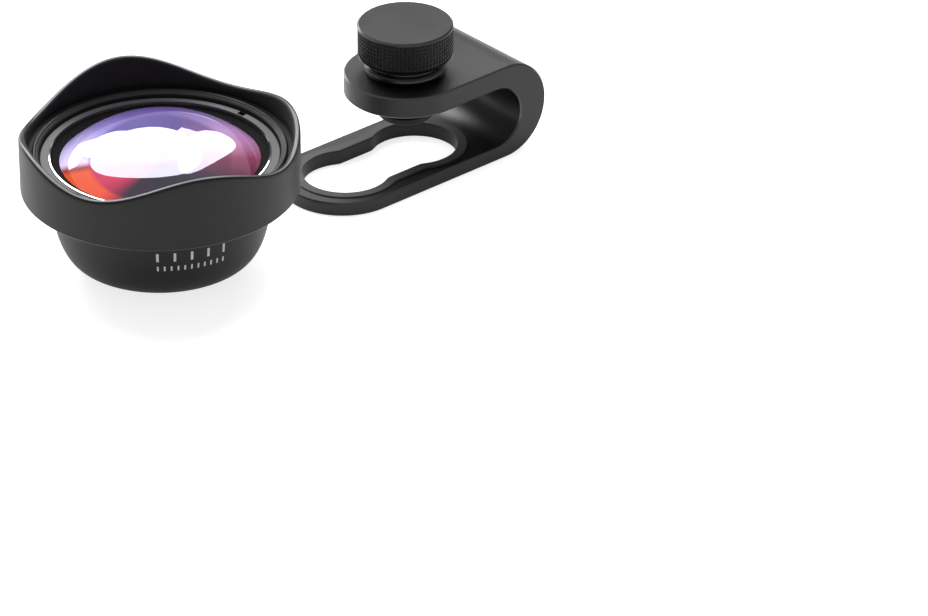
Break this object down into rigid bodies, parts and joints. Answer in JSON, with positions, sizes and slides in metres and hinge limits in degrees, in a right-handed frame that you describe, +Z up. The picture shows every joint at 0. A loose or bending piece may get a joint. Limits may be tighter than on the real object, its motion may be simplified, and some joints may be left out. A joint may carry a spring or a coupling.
{
  "type": "clip on phone lens",
  "caption": "Macro lens with a petal hood and coated front glass, beside the C-shaped screw clamp whose two-lobed slot takes the lens's thread.",
  "frame": {"origin": "lens's optical axis at the plane the lens's thread and the clamp's lower arm rest on", "axes": "+X runs along the clamp towards its bend, +Z up out of the lens's hood; the lens's thread points along -Z"},
  "size_m": [0.1174, 0.0548, 0.0324],
  "materials": {
    "anodised_black": "matt black anodised aluminium",
    "anodised_grey": "dark grey anodised aluminium, turned flat",
    "baffle_black": "black anodised, light-absorbing",
    "thread_black": "black anodised aluminium, cut thread",
    "polished_edge": "polished",
    "coated_glass": "optical glass with violet anti-reflection coating",
    "clear_glass": "polished optical glass",
    "clip_black": "satin black anodised aluminium",
    "knob_black": "satin black anodised aluminium, knurled rim",
    "screw_steel": "turned steel",
    "pad_silicone": "matt black silicone"
  },
  "bodies": {
    "lens_and_clamp": {"lens_hood": "anodised_black", "barrel": "anodised_black", "front_element": "coated_glass", "front_retaining_ring": "anodised_grey", "bright_ring": "polished_edge", "rear_retaining_ring": "baffle_black", "rear_element": "clear_glass", "rear_spacer": "baffle_black", "aperture_stop": "baffle_black", "flint_element": "clear_glass", "crown_element": "clear_glass", "front_spacer": "baffle_black", "thread_mount": "thread_black", "clip_frame": "clip_black", "arm_pad": "pad_silicone"},
    "foot": {"foot_cap": "screw_steel", "pressure_pad": "pad_silicone"},
    "thumb_screw": {"thumb_knob": "knob_black", "screw_stud": "screw_steel"}
  },
  "joints": [
    {"name": "pad_travel", "type": "slide", "parent": "lens_and_clamp", "child": "foot", "axis": [0, 0, 1], "range_m": [0, 0.0029]},
    {"name": "screw_turn", "type": "hinge", "parent": "foot", "child": "thumb_screw", "pos_m": [0.0632, 0, 0], "axis": [0, 0, 1], "range_deg": [0, 1043]}
  ],
  "couplings": [
    {"joint": "pad_travel", "follows": "screw_turn", "m_per_rad": 0.00015915}
  ]
}
